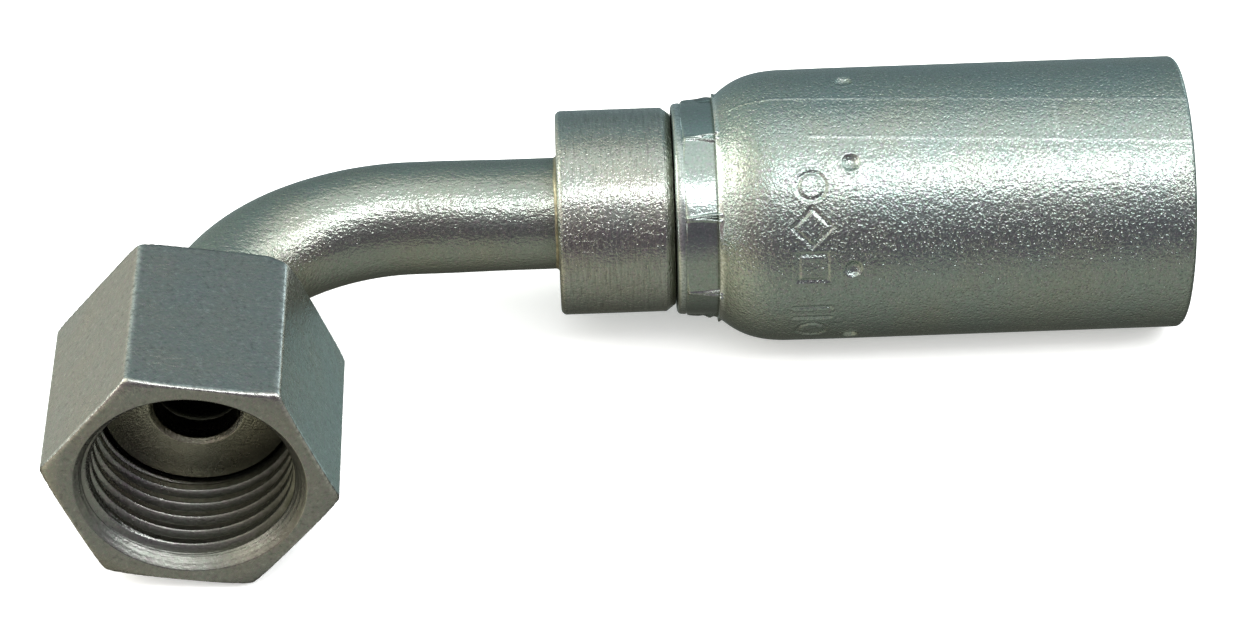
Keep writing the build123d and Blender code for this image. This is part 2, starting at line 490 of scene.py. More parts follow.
def points_of(piece):
    """The piece's points as (count, 3)."""
    flat = np.zeros(len(piece.data.vertices) * 3)
    piece.data.vertices.foreach_get("co", flat)
    return flat.reshape(-1, 3)


def stem_places(piece):
    """Each point's place along the stem's axis, its distance from it and its angle from -Y towards +Z."""
    x, y, z = points_of(piece).T
    return x, np.hypot(y - STEM_AXIS_Y, z), np.arctan2(z, STEM_AXIS_Y - y)


def nut_places(piece):
    """Each point's place along the nut's axis, its distance from it and its angle from +X towards +Z."""
    x, y, z = points_of(piece).T
    return y, np.hypot(x, z), np.arctan2(z, x)


# ---------------------------------------------------------------------------------------------------
# Swivel nut
# ---------------------------------------------------------------------------------------------------
def flat_middles(sizes):
    """Angles of the middles of the hexagon's six flats."""
    return sizes.turn + math.pi / 6 + np.arange(6) * math.pi / 3


def hexagon_angles(sizes, per_side):
    """Angles once round the hexagon, closest together at its corners, with the first repeated at the end."""
    sweep = np.sin(np.linspace(-1, 1, per_side, endpoint=False) * math.pi / 2) * math.pi / 6
    middles = flat_middles(sizes)
    angles = (middles[:, None] + sweep[None, :]).ravel()
    return np.append(angles, angles[0] + 2 * math.pi)


def rounded_union(depths, rounding):
    """Depth outside several planes at once, with their shared edges rounded."""
    return np.sqrt(sum(np.maximum(depth + rounding, 0.0) ** 2 for depth in depths)) - rounding


def bevel(outward, inward, degrees):
    """How far a point lies outside a bevel, from its distances out past its start and in from the end."""
    return outward * math.sin(math.radians(degrees)) - inward * math.cos(math.radians(degrees))


def nut_depth_outside(sizes, angle, along, radius):
    """How far a point lies outside the nut's rounded outer surface; negative inside."""
    front, back = NUT_LOW.y, NUT_HIGH.y
    flats = [radius * np.cos(angle - middle) - sizes.across_flats / 2 for middle in flat_middles(sizes)]
    front_cone = bevel(radius - sizes.face_radius, along - front, 27)
    back_cone = bevel(radius - sizes.back_radius, back - along, 23)
    knocked_corner = sizes.turn + math.radians(50.4)
    knock = bevel(radius * np.cos(angle - knocked_corner) - 10.8 * MM, back - along, 38)
    sides = rounded_union(flats, sizes.edge_round)
    mouth = rounded_union([front - along, front_cone], 0.5 * MM)
    rear = rounded_union([along - back, back_cone, knock], 0.15 * MM)
    return rounded_union([sides, mouth, rear], 0.15 * MM)


def nut_outside(sizes, angles):
    """Rings over the nut's outside, from its front face round to its back face."""
    core = sizes.countersink + 0.35 * MM
    front_core, back_core = NUT_LOW.y + 0.6 * MM, NUT_HIGH.y - 1.4 * MM
    tilt_front = np.linspace(0, 1, 15)[:-1] ** 0.8 * math.pi / 2
    tilt_back = math.pi / 2 + np.linspace(0, 1, 19)[1:] * math.pi / 2
    side = np.linspace(front_core, back_core, 16)
    places = np.concatenate([np.full(len(tilt_front), front_core), side, np.full(len(tilt_back), back_core)])
    tilts = np.concatenate([tilt_front, np.full(len(side), math.pi / 2), tilt_back])
    angle, place = np.meshgrid(angles, places)
    tilt = np.meshgrid(angles, tilts)[1]
    step_along, step_out = -np.cos(tilt), np.sin(tilt)
    low, high = np.zeros_like(angle), np.full_like(angle, 5 * MM)
    for _ in range(30):
        middle = (low + high) / 2
        outside = nut_depth_outside(sizes, angle, place + step_along * middle, core + step_out * middle) > 0
        high = np.where(outside, middle, high)
        low = np.where(outside, low, middle)
    return round_y(place + step_along * low, core + step_out * low, angle)


def thread_height(sizes, phase):
    """Depth of the thread below its crest, as a share of its full depth, over one pitch."""
    crest, root = 0.36, 0.06
    rise = np.clip((np.abs(phase - 0.5) * 2 - crest) / (1 - crest - root), 0.0, 1.0)
    return smooth_step(rise, -0.12, 1.12)


def countersink_radius(sizes, along):
    """The countersink's radius: a cone that steepens towards the thread, with faint tool rings."""
    deep = np.minimum((along - NUT_LOW.y) / MM, 2.6)
    rings = 0.012 * np.sin(deep * 2 * math.pi / 0.36) * smooth_step(deep, 0.15, 0.4)
    return sizes.countersink - (0.95 * deep - 0.17 * deep**2 + rings + smooth_step(deep, 2.0, 2.6)) * MM


def nut_thread(sizes, angles, start, finish):
    """Rings down the helical thread, whose rows follow the helix and are clipped at both ends."""
    per_pitch = 24
    turns = (finish - start) / sizes.thread_pitch + 1
    rows = np.arange(int(math.ceil(turns * per_pitch)) + 1)[:, None]
    lead = ((angles - angles[0]) / (2 * math.pi))[None, :]
    along = np.clip(start + sizes.thread_pitch * (rows / per_pitch - 1 + lead), start, finish)
    phase = ((along - start) / sizes.thread_pitch + 1 - lead) % 1.0
    cut = 1 - smooth_step(along, finish - 0.87 * MM, finish - 0.42 * MM)
    radius = sizes.thread_minor + sizes.thread_depth * thread_height(sizes, phase) * cut
    radius = np.maximum(radius, countersink_radius(sizes, along))
    return round_y(along, radius, np.broadcast_to(angles, along.shape))


class FITTING_OT_swivel_nut(bpy.types.Operator):
    """Build the hexagon swivel nut with its helical inside thread"""

    bl_idname = "fitting.swivel_nut"
    bl_label = "Swivel Nut"

    def execute(self, context):
        sizes = context.scene.fitting_nut
        angles = hexagon_angles(sizes, 36)
        outside = nut_outside(sizes, angles)
        front, back = NUT_LOW.y, NUT_HIGH.y
        groove, hole, shoulder = 8.9 * MM, 6.4 * MM, 3.75 * MM
        thread_start, thread_end = front + 0.15 * MM, SLEEVE_LOW.y + 0.22 * MM
        inside = rounded(
            [
                (back, sizes.countersink + 0.1 * MM, 0.0),
                (back, hole, 0.35 * MM),
                (shoulder, hole, 0.2 * MM),
                (shoulder, groove, 0.3 * MM),
                (thread_end, groove, 0.1 * MM),
                (thread_end, sizes.thread_minor, 0.0),
            ],
            4,
        )
        rings = [round_y(along, radius, angles) for along, radius in inside[1:-1]]
        thread = nut_thread(sizes, angles, thread_start, thread_end)[::-1]
        lip = rounded(
            [
                (thread_start, countersink_radius(sizes, thread_start), 0.0),
                (front, sizes.countersink, 0.18 * MM),
                (front, sizes.countersink + 0.32 * MM, 0.0),
            ],
            5,
        )
        mouth = [round_y(along, radius, angles) for along, radius in lip]
        piece = self.helix_mesh("swivel_nut_turned", np.concatenate([outside, rings, thread, mouth]))
        along, radius, angle = nut_places(piece)
        # painted highlight and wear: the hexagon's edges and the front face's edge are brightened
        mark_points(piece, "worn", self.edge_wear(sizes, along, radius, angle))
        # painted shade: the thread's roots and deeper turns are darkened, more at the lower right and less at
        # the lower left, and the countersink more towards the lower right
        root = smooth_step(radius, sizes.thread_minor + 0.2 * MM, sizes.thread_minor + 0.7 * MM)
        deep = smooth_step(along, front + 0.9 * MM, front + 1.9 * MM) * (radius < 9.1 * MM) * (along < 5 * MM)
        lean = np.cos(angle + math.radians(45))
        bright = np.maximum(np.cos(angle + math.radians(135)), 0.0)
        mouth_cone = (0.32 + 0.15 * lean) * (radius < 9.2 * MM) * (along < front + 1.2 * MM)
        shading = deep * (0.45 + 0.6 * root + 0.35 * lean - 0.45 * bright)
        mark_points(piece, "corner", np.maximum(shading, mouth_cone))
        finish = plated(
            context, "nut", peel=0.03 * MM, pits=0.006 * MM, roughness=0.22, mottle=0.6, speck=0.4 * MM,
            wear=2.1,
        )
        settle(piece, "swivel_nut", "nut", finish)
        return {"FINISHED"}

    def helix_mesh(self, name, grid):
        """A closed piece from rows that start and end on one seam, where the helix has moved on one pitch."""
        rows, columns = grid.shape[:2]
        number = np.arange(rows * columns).reshape(rows, columns)
        following = np.roll(number, -1, axis=0)
        faces = np.stack(
            [number[:, :-1], number[:, 1:], following[:, 1:], following[:, :-1]], axis=-1
        ).reshape(-1, 4)
        return finished_mesh(name, grid.reshape(-1, 3), faces.tolist(), merge=2e-7)

    def edge_wear(self, sizes, along, radius, angle):
        """Bright rubbed metal and painted highlight along the hexagon's own edges and the front face's edge.
        """
        off_corner = np.abs((angle - sizes.turn + math.pi / 6) % (math.pi / 3) - math.pi / 6)
        corner = 0.9 * bell(off_corner * radius, 0.24 * MM) * (along > NUT_LOW.y + 0.3 * MM)
        under_flat = sizes.across_flats / 2 - radius * np.cos(math.pi / 6 - off_corner)
        behind_face = smooth_step(along, NUT_LOW.y + 0.25 * MM, NUT_LOW.y + 0.5 * MM)
        front = bell(under_flat, 0.16 * MM) * (1 - behind_face)
        outer = radius > sizes.across_flats / 2 - 0.5 * MM
        return np.maximum(corner, front) * outer


# ---------------------------------------------------------------------------------------------------
# Face-seal sleeve, tube and braze
# ---------------------------------------------------------------------------------------------------
class FITTING_OT_seal_sleeve(bpy.types.Operator):
    """Build the sleeve whose flat seat shows at the bottom of the nut"""

    bl_idname = "fitting.seal_sleeve"
    bl_label = "Face-Seal Sleeve"

    def execute(self, context):
        seat, end = SLEEVE_LOW.y, SLEEVE_HIGH.y
        flange, flange_back, neck = SLEEVE_HIGH.x, seat + 3.6 * MM, 6.1 * MM
        socket = TUBE_RADIUS + 0.05 * MM
        corners = [
            (seat, BORE_RADIUS + 0.35 * MM, 0.15 * MM),
            (seat, flange, 0.12 * MM),
            (flange_back, flange, 0.2 * MM),
            (flange_back, neck, 0.3 * MM),
            (end, neck, 0.3 * MM),
            (end, socket, 0.1 * MM),
            (TUBE_LOW.y, socket, 0.0),
            (TUBE_LOW.y, BORE_RADIUS, 0.0),
            (seat + 0.35 * MM, BORE_RADIUS, 0.15 * MM),
        ]
        piece = turned_piece("seal_sleeve_turned", corners, round_y, 160)
        along, radius, angle = nut_places(piece)
        # painted shade: the seat darkens towards its outer edge, less at the lower left, and the bore darkens
        # deeper in
        edge = smooth_step(radius, BORE_RADIUS + 0.5 * MM, flange) * 0.85
        inside = (radius < BORE_RADIUS + 0.3 * MM) * smooth_step(along, 0.3 * MM, 1.5 * MM) * 0.9
        lean = np.cos(angle + math.radians(135))
        mark_points(piece, "corner", np.maximum(edge * (1 - 0.8 * np.maximum(lean, 0.0)), inside))
        # painted highlight: a brighter ring just outside the edge of the bore
        mark_points(piece, "worn", 0.8 * bell(radius - BORE_RADIUS - 0.5 * MM, 0.6 * MM))
        finish = plated(
            context, "sleeve", peel=0.04 * MM, pits=0.01 * MM, roughness=0.15, mottle=0.6, facing=0.03 * MM
        )
        settle(piece, "face_seal_sleeve", "fitting", finish)
        return {"FINISHED"}


class FITTING_OT_bent_tube(bpy.types.Operator):
    """Build the bent tube, slightly flattened in its bend"""

    bl_idname = "fitting.bent_tube"
    bl_label = "Bent Tube"

    def execute(self, context):
        middles, headings = self.route(TUBE_LOW.y, TUBE_HIGH.x)
        around = full_turn(128)
        rings_out = [self.ring(m, h, TUBE_RADIUS, around) for m, h in zip(middles, headings)]
        rings_in = [self.ring(m, h, BORE_RADIUS, around) for m, h in zip(middles, headings)]
        piece = mesh_piece("bent_tube_drawn", [rings_out, rings_in[::-1]])
        x, y, z = points_of(piece).T
        from_collar = STEM_LOW.x - x
        near_collar = np.exp(-np.abs(from_collar) / (0.7 * MM)) * (from_collar > -1 * MM)
        near_nut = np.exp(-np.maximum(y - NUT_HIGH.y, 0.0) / (1.2 * MM))
        in_nut_leg = (np.hypot(x, z) < BORE_RADIUS + 1.2 * MM) & (y < SLEEVE_HIGH.y)
        in_stem_leg = np.hypot(y - STEM_AXIS_Y, z) < BORE_RADIUS * 1.05
        inside = in_nut_leg | in_stem_leg
        # painted shade: darker next to the collar and the nut, and inside the bore
        mark_points(piece, "corner", 0.45 * np.maximum(near_collar, near_nut) + 0.8 * inside)
        finish = plated(
            context, "tube", peel=0.055 * MM, pits=0.013 * MM, roughness=0.12, stretch=(0.55, 1.0, 1.0),
            nicks=self.nicks(),
        )
        settle(piece, "elbow_tube", "fitting", finish)
        return {"FINISHED"}

    def route(self, start, end):
        """Centreline points and headings: straight from the sleeve, round the bend, straight to the stem.

        The bend is tight for its first 60 degrees and then opens out.
        """
        tight, opened, change = 15.0 * MM, 19.5 * MM, math.radians(60)
        height = tight * math.sin(change) + opened * (1 - math.sin(change))
        bend_start = STEM_AXIS_Y - height
        whole = [((0.0, y), 0.0) for y in np.linspace(start, bend_start, 8)[:-1]]
        for a in np.linspace(0, change, 49):
            whole.append(((tight * (1 - math.cos(a)), bend_start + tight * math.sin(a)), a))
        (x, y), _ = whole[-1]
        for a in np.linspace(change, math.pi / 2, 27)[1:]:
            rise, run = math.sin(a) - math.sin(change), math.cos(change) - math.cos(a)
            whole.append(((x + opened * run, y + opened * rise), a))
        bend_end = whole[-1][0][0]
        whole += [((x, STEM_AXIS_Y), math.pi / 2) for x in np.linspace(bend_end, end, 22)[1:]]
        return [p for p, _ in whole], [a for _, a in whole]

    def nicks(self):
        """Handling nicks on top of the tube's straight part, by place, turn and reach along and across."""
        places = ((19.6, 52, 0.5, 0.5), (20.1, 46, 0.15, 0.6), (22.6, 55, 0.6, 0.35), (23.2, 47, 0.35, -0.5))
        return [
            (on_stem(x * MM, turn, TUBE_RADIUS), (dx * MM, dy * MM * 0.7, dy * MM * 0.6), 0.09 * MM)
            for x, turn, dx, dy in places
        ]

    def ring(self, middle, heading, radius, around):
        """One ring across the tube; bending it leaves it wider across the bend than along it."""
        spread = smooth_step(heading, 0.1, 0.5) * (1 - smooth_step(middle[0], 19.5 * MM, 26.0 * MM))
        side = radius * (1 - 0.02 * spread) * np.cos(around)
        up = radius * (1 + 0.033 * spread) * np.sin(around)
        x = middle[0] + side * math.cos(heading)
        y = middle[1] - side * math.sin(heading)
        return np.stack([x, y, up], axis=-1)


class FITTING_OT_braze_rings(bpy.types.Operator):
    """Build the two brass fillets where the tube enters the sleeve and the stem"""

    bl_idname = "fitting.braze_rings"
    bl_label = "Braze Rings"

    def execute(self, context):
        material = brass("braze_brass", context.scene.fitting_colours.braze)
        leg = 0.42 * MM
        sleeve = self.fillet("braze_at_sleeve", SLEEVE_HIGH.y, 1, leg, round_y)
        settle(sleeve, "braze_ring_sleeve", "fitting", material)
        stem = self.fillet("braze_at_stem", STEM_LOW.x, -1, leg, round_x)
        settle(stem, "braze_ring_stem", "fitting", material)
        return {"FINISHED"}

    def fillet(self, name, face, side, leg, turned):
        """A hollow fillet from the tube up to the face, with a wavy edge where the filler froze."""
        angle = full_turn(144)
        ripple = np.sin(3 * angle + 0.7) * 0.5 + np.sin(7 * angle + 2.1) * 0.3 + np.sin(13 * angle) * 0.2
        wave = 1 - 0.16 * (1 + ripple)
        inner = TUBE_RADIUS - 0.01 * MM
        rings = [turned(face + 0 * angle, inner, angle)]
        for share in np.linspace(0, 1, 9):
            swing = share * math.pi / 2
            out = leg * wave * (1 - math.sin(swing))
            away = leg * wave * (1 - math.cos(swing))
            rings.append(turned(face + side * away, inner + out, angle))
        return mesh_piece(name, [rings])


# ---------------------------------------------------------------------------------------------------
# Hose stem
# ---------------------------------------------------------------------------------------------------
class FITTING_OT_hose_stem(bpy.types.Operator):
    """Build the stem: collar, locking groove and barbed hose nipple"""

    bl_idname = "fitting.hose_stem"
    bl_label = "Hose Stem"

    def execute(self, context):
        start, end = STEM_LOW.x, STEM_HIGH.x
        collar_end = start + 9.8 * MM
        collar = STEM_HIGH.z
        socket = TUBE_RADIUS + 0.05 * MM
        groove, step, nipple, barb = 6.7 * MM, 7.6 * MM, 4.55 * MM, 4.95 * MM
        corners = [
            (start, socket, 0.0),
            (start, collar, 0.5 * MM),
            (collar_end - 0.8 * MM, collar, 0.15 * MM),
            (collar_end, collar - 0.6 * MM, 0.15 * MM),
            (collar_end, groove, 0.1 * MM),
            (start + 13.6 * MM, groove, 0.1 * MM),
            (start + 13.6 * MM, step, 0.2 * MM),
            (start + 15.2 * MM, step, 0.2 * MM),
            (start + 16.0 * MM, nipple, 0.3 * MM),
        ]
        for number in range(6):
            place = start + 20.4 * MM + number * 5.0 * MM
            corners += [
                (place, nipple, 0.05 * MM),
                (place + 0.2 * MM, barb, 0.1 * MM),
                (place + 1.2 * MM, barb, 0.3 * MM),
                (place + 3.4 * MM, nipple, 0.4 * MM),
            ]
        corners += [
            (end - 1.2 * MM, nipple, 0.4 * MM),
            (end, nipple - 0.4 * MM, 0.15 * MM),
            (end, BORE_RADIUS, 0.15 * MM),
            (TUBE_HIGH.x, BORE_RADIUS, 0.0),
            (TUBE_HIGH.x, socket, 0.0),
        ]
        piece = turned_piece("hose_stem_turned", corners, round_x, 160, longest=1.2 * MM)
        along, radius, _ = stem_places(piece)
        # painted highlight and wear: the collar's two outer edges are brightened
        rim = bell(along - start, 0.35 * MM) * (radius > collar - 0.6 * MM)
        far_rim = bell(along - collar_end + 0.5 * MM, 0.4 * MM) * (radius > collar - 0.7 * MM)
        mark_points(piece, "worn", 0.5 * np.maximum(rim, 0.5 * far_rim))
        # painted shade: darker in the gap behind the collar, inside the bore and round the tube's joint
        gap = smooth_step(along, collar_end - 0.15 * MM, collar_end) * (along < start + 15 * MM)
        inside = (radius < BORE_RADIUS * 1.05) * 0.9
        braze = bell(radius - socket, 0.8 * MM) * (along < start + 0.2 * MM) * 0.5
        mark_points(piece, "corner", np.maximum(np.maximum(gap * 0.9, inside), braze))
        finish = plated(
            context, "stem", peel=0.038 * MM, pits=0.02 * MM, roughness=0.06, turning=0.05 * MM,
            nicks=self.nicks(start, collar),
        )
        settle(piece, "hose_stem", "fitting", finish)
        return {"FINISHED"}

    def nicks(self, start, collar):
        """A long crooked scratch low on the collar."""
        first = on_stem(start + 2.6 * MM, -24, collar)
        second = on_stem(start + 4.6 * MM, -14, collar)
        return [
            (first, (1.2 * MM, 0.15 * MM, 0.5 * MM), 0.06 * MM),
            (second, (0.9 * MM, 0.1 * MM, 0.75 * MM), 0.06 * MM),
        ]


# ---------------------------------------------------------------------------------------------------
# Crimp shell
# ---------------------------------------------------------------------------------------------------
def shell_outline():
    """The shell's outside from its neck face to its mouth, as (along, radius) points.

    The points are close together where the neck, the marks and the dimples are.
    """
    start, end, radius = SHELL_LOW.x, SHELL_HIGH.x, SHELL_HIGH.z - RAISED
    step = 9.45 * MM
    neck_end, shoulder_length = 3.9 * MM, 7.2 * MM

    def shoulder_radius(share):
        return radius - (radius - step - 0.28 * MM) * (1 - share) ** 3.4

    neck = rounded(
        [
            (start, 7.2 * MM, 0.0),
            (start, 8.98 * MM, 0.5 * MM),
            (start + 0.68 * MM, 9.05 * MM, 0.2 * MM),
            (start + 0.78 * MM, 8.97 * MM, 0.05 * MM),
            (start + 0.9 * MM, 9.03 * MM, 0.1 * MM),
            (start + 3.38 * MM, 9.12 * MM, 0.05 * MM),
            (start + 3.46 * MM, 9.04 * MM, 0.04 * MM),
            (start + 3.5 * MM, step + 0.06 * MM, 0.2 * MM),
            (start + neck_end, step + 0.28 * MM, 0.0),
        ],
        4,
    )
    shares = np.linspace(0, 1, 26)[1:] ** 1.3
    shoulder = [(start + neck_end + shoulder_length * share, shoulder_radius(share)) for share in shares]
    first_mark, mouth_start = start + 9.0 * MM, end - 1.6 * MM
    outline = [divided(neck, 0.17 * MM), np.array([p for p in shoulder if p[0] < first_mark])]
    stages = (
        (first_mark, 0.5), (start + 13.4 * MM, 0.12), (start + 15.4 * MM, 0.16), (start + 31.0 * MM, 2.0),
        (start + 32.4 * MM, 0.14), (mouth_start, 2.0),
    )
    for place, longest in stages:
        share = min(1.0, (place - start - neck_end) / shoulder_length)
        target = (place, shoulder_radius(share))
        outline.append(divided(np.array([outline[-1][-1], target]), longest * MM)[1:])
    mouth = rounded([(mouth_start, radius, 0.0), (end, radius, 1.25 * MM), (end, 10.45 * MM, 0.0)], 8)
    return np.vstack([*outline, mouth[1:]])


def shell_angles():
    """Angles round the shell, close together on the marked front and wider apart behind."""
    front = np.arange(-46.0, 100.0, 0.5)
    behind = np.linspace(100.0, 314.0, 193)[:-1]
    return np.radians(np.concatenate([front, behind]))


def neck_relief(sizes, along, angle, radius):
    """Jaw marks round the neck: flattened faces with a pinched fold of metal between each pair."""
    start = SHELL_LOW.x
    pitch = 2 * math.pi / sizes.jaw_count
    number = np.round((angle - sizes.jaw_turn) / pitch)
    off = angle - sizes.jaw_turn - number * pitch
    fade = smooth_step(along, start + 0.7 * MM, start + 1.0 * MM)
    fade = fade * (1 - smooth_step(along, start + 3.45 * MM, start + 3.9 * MM))
    to_middle = pitch / 2 - np.abs(off)
    flatness, sunk = 0.3, 0.4
    corner = radius * flatness * (1 / math.cos(pitch / 2) - 1)
    flat = radius * flatness * (1 / np.cos(to_middle) - 1) - corner * sunk
    share = smooth_step(along, start + 0.9 * MM, start + 3.6 * MM)
    spread = 0.09 * MM + 0.17 * MM * share**2 * (1 + 0.4 * np.sin(number * 2.3))
    across = off * radius + 0.1 * MM * np.sin(number * 1.7 + along / MM)
    fold = bell(across - spread, 0.09 * MM) + bell(across + spread, 0.09 * MM)
    valley = bell(across, 0.11 * MM) * (0.2 + 0.8 * share)
    fold, valley = (0.45 + 0.55 * share) * fold, 0.6 * valley
    return fade * (flat + sizes.crease_height * (fold - valley)), fade * fold, fade * valley


def dimples(sizes, along, angle, radius):
    """A ring of round dimples, one halfway between each two creases."""
    pitch = 2 * math.pi / sizes.jaw_count
    off = (angle - sizes.jaw_turn) % pitch - pitch / 2
    from_neck_face = 14.5 * MM
    away = np.hypot(along - SHELL_LOW.x - from_neck_face, off * radius)
    bowl = np.clip(1 - (away / sizes.dimple_radius) ** 2, 0.0, 1.0)
    rim = bell(away - sizes.dimple_radius * 1.12, 0.16 * MM)
    return -sizes.dimple_depth * bowl**0.8 + 0.05 * MM * rim


def stroke(distance):
    """A stamped stroke's depth across its width: a groove with metal pushed up on both sides."""
    return 0.3 * bell(np.abs(distance) - 0.34 * MM, 0.12 * MM) - bell(distance, 0.15 * MM)


def ring_mark(u, v):
    """Distance from a ring's line, at u round the shell and v along it from the mark's middle."""
    return np.abs(np.hypot(u, v) - 1.15 * MM)


def diamond_mark(u, v):
    """Distance from a diamond's line."""
    return np.abs(np.abs(u) + np.abs(v) - 1.6 * MM) / math.sqrt(2)


def square_mark(u, v):
    """Distance from a square's line."""
    return np.abs(np.maximum(np.abs(u), np.abs(v)) - 1.2 * MM)


def bars_mark(u, v):
    """Distance from two short bars side by side."""
    beyond = np.maximum(np.abs(v) - 1.5 * MM, 0.0)
    return np.hypot(np.abs(np.abs(u) - 0.7 * MM), beyond)


def stamped_marks(sizes, along, angle, radius):
    """Plain inspection marks in a row round the shell."""
    relief = np.zeros_like(along)
    middle = SHELL_LOW.x + 11.15 * MM
    marks = {46.0: ring_mark, 29.0: diamond_mark, 11.5: square_mark, -13.0: bars_mark, -27.0: ring_mark}
    for degrees, shape in marks.items():
        off = (angle - math.radians(degrees) + math.pi) % (2 * math.pi) - math.pi
        u, v = off * radius, along - middle
        close = (np.abs(u) < 3 * MM) & (np.abs(v) < 3 * MM)
        relief += np.where(close, stroke(shape(u, v)), 0.0)
    return sizes.mark_depth * relief


def raised_lines(along, angle, radius):
    """Two thin raised lines along the shell and one across between them, left by the forming tool.

    The lines turn a little towards the front on their way to the mouth.
    """
    start = SHELL_LOW.x
    relief = np.zeros_like(along)
    twist = math.radians(0.25) * (along - start - 8 * MM) / MM
    upper, lower = 89.0, 68.5
    for degrees, first in ((upper, 4.2 * MM), (lower, 10.8 * MM)):
        off = (angle + twist - math.radians(degrees) + math.pi) % (2 * math.pi) - math.pi
        faint = 1 - 0.3 * smooth_step(along, start + 21 * MM, start + 24 * MM)
        shown = smooth_step(along, start + first, start + first + 0.6 * MM) * faint
        relief = np.maximum(relief, shown * bell(off * radius, 0.1 * MM))
    between = (angle + twist > math.radians(lower)) & (angle + twist < math.radians(upper))
    tick = 0.6 * between * bell(along - start - 31.8 * MM, 0.12 * MM)
    return np.maximum(relief, tick)


class FITTING_OT_crimp_shell(bpy.types.Operator):
    """Build the crimp shell: staked neck, dimples, stamped marks and the gripping teeth inside"""

    bl_idname = "fitting.crimp_shell"
    bl_label = "Crimp Shell"

    def execute(self, context):
        sizes = context.scene.fitting_shell
        angle = shell_angles()
        outside = []
        for along, radius in shell_outline():
            place = np.full_like(angle, along)
            relief = neck_relief(sizes, place, angle, radius)[0]
            if along > NECK_END:
                relief = dimples(sizes, place, angle, radius) + stamped_marks(sizes, place, angle, radius)
                relief = relief + RAISED * raised_lines(place, angle, radius)
            outside.append(round_x(place, np.minimum(radius + relief, SHELL_HIGH.z), angle))
        inside = [round_x(a, r, angle[::4]) for a, r in self.inside_outline()]
        piece = mesh_piece("crimp_shell_formed", [outside, inside])
        self.mark(piece, sizes)
        finish = plated(
            context, "shell", peel=0.06 * MM, pits=0.028 * MM, roughness=0.12, mottle=0.55, wear=1.8,
            nicks=self.nicks(),
        )
        settle(piece, "crimp_shell", "fitting", finish)
        return {"FINISHED"}

    def inside_outline(self):
        """The inside from the mouth to the neck: eight gripping teeth, the end wall and the staked lip."""
        start, end = SHELL_LOW.x, SHELL_HIGH.x
        root, crest, pocket, lip = 9.95 * MM, 9.45 * MM, 7.75 * MM, 6.75 * MM
        first_tooth, tooth_pitch = 13.5 * MM, 3.4 * MM
        corners = [(end, 10.3 * MM, 0.0), (end - 0.35 * MM, root, 0.1 * MM)]
        for number in reversed(range(8)):
            place = start + first_tooth + number * tooth_pitch
            corners += [
                (place + 1.9 * MM, root, 0.15 * MM),
                (place + 1.4 * MM, crest, 0.1 * MM),
                (place + 0.5 * MM, crest, 0.1 * MM),
                (place, root, 0.15 * MM),
            ]
        corners += [
            (start + 9.1 * MM, root, 0.8 * MM),
            (start + 5.7 * MM, pocket, 0.3 * MM),
            (start + 3.6 * MM, pocket, 0.2 * MM),
            (start + 3.6 * MM, lip, 0.2 * MM),
            (start, lip, 0.2 * MM),
            (start, 7.0 * MM, 0.0),
        ]
        return rounded(corners, 2)

    def nicks(self):
        """A scuff on top of the shell and two light scratches."""
        radius = SHELL_HIGH.z
        return [
            (on_stem(65.6 * MM, 55, radius), (1.7 * MM, 0.0, 0.0), 0.07 * MM),
            (on_stem(67.2 * MM, 58, radius), (0.0, 0.65 * MM, 0.45 * MM), 0.07 * MM),
            (on_stem(63.6 * MM, 57, radius), (0.1 * MM, 0.5 * MM, 0.3 * MM), 0.06 * MM),
            (on_stem(60.5 * MM, -14, radius), (2.2 * MM, 0.0, 0.2 * MM), 0.06 * MM),
            (on_stem(65.6 * MM, 81, radius), (0.1 * MM, 0.2 * MM, 0.0), 0.12 * MM),
        ]

    def mark(self, piece, sizes):
        """Brightened raised edges and lines, partly rubbed metal and partly painted highlight, and painted
        shade in the neck's gap, in the folds, under the step and inside.
        """
        along, radius, angle = stem_places(piece)
        angle = np.where(angle < math.radians(-46.0), angle + 2 * math.pi, angle)
        start, end = SHELL_LOW.x, SHELL_HIGH.x
        _, fold, valley = neck_relief(sizes, along, angle, radius)
        outer = (radius > 8.6 * MM) & (along < NECK_END) | (radius > SHELL_HIGH.z - 3 * RAISED)
        lines = raised_lines(along, angle, radius) * (along > NECK_END)
        step = 1.5 * bell(along - start - 3.68 * MM, 0.18 * MM)
        lip = 1.2 * bell(along - start - 0.4 * MM, 0.26 * MM)
        rim = smooth_step(along, end - 0.35 * MM, end)
        # painted highlight and wear: crease folds, raised lines, the neck's step and lip and the mouth's rim
        # are brightened
        worn = np.max([1.1 * fold, 1.4 * lines, step, lip, rim], axis=0) * outer
        mark_points(piece, "worn", 0.7 * worn)
        # painted shade: the neck's gap, the inside, the line under the step and the valleys between the folds
        # are darkened
        gap = (1 - smooth_step(along, start, start + 0.2 * MM)) * (radius < 8.7 * MM)
        neck = (1 - smooth_step(along, start + 3.6 * MM, start + 4.4 * MM)) * (radius > 8.4 * MM)
        mark_points(piece, "pressed", neck)
        inside = (radius < 9.98 * MM) & (along > start + 5 * MM) & (along < end - 0.3 * MM)
        under = 0.6 * bell(along - start - 3.42 * MM, 0.08 * MM) * outer
        mark_points(piece, "corner", np.max([0.7 * gap, 0.55 * inside, under, valley * outer], axis=0))


